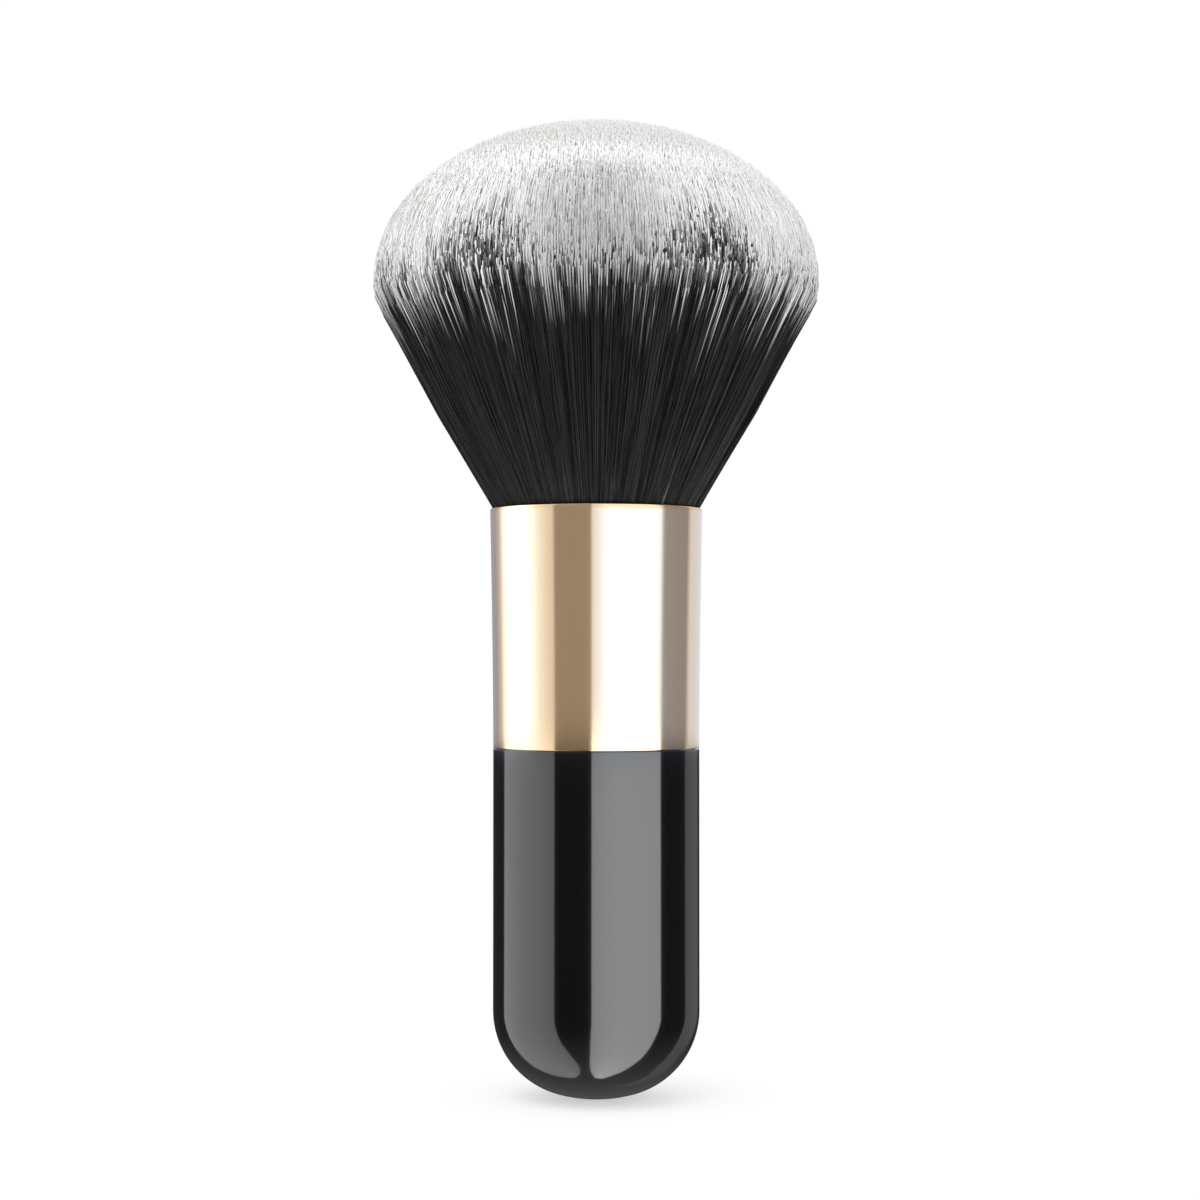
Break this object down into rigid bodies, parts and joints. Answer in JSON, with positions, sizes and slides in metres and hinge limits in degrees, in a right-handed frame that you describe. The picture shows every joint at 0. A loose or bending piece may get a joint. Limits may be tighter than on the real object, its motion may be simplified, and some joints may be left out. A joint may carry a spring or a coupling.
{
  "type": "powder brush",
  "caption": "Short powder brush: gloss black handle with a domed end, gold ferrule, and a wide domed head of two-tone bristles.",
  "frame": {"origin": "lowest point of the handle's domed end, on the brush's axis", "axes": "+Z along the brush's axis, from the handle to the bristles; +X and +Y are free, because the brush is round"},
  "size_m": [0.0594, 0.0592, 0.13],
  "materials": {
    "handle": "high-gloss black lacquer",
    "ferrule": "polished, anodised champagne gold",
    "adhesive": "cured adhesive",
    "resin": "cast resin",
    "bristles": "fine synthetic filaments, black at the root and white at the tip"
  },
  "bodies": {
    "root": {"handle": "handle", "ferrule": "ferrule", "handle_adhesive": "adhesive", "resin_plug": "resin", "bristle_core": "bristles", "bristle_sector_1": "bristles", "bristle_sector_2": "bristles", "bristle_sector_3": "bristles", "bristle_sector_4": "bristles", "bristle_sector_5": "bristles", "bristle_sector_6": "bristles"}
  },
  "joints": []
}
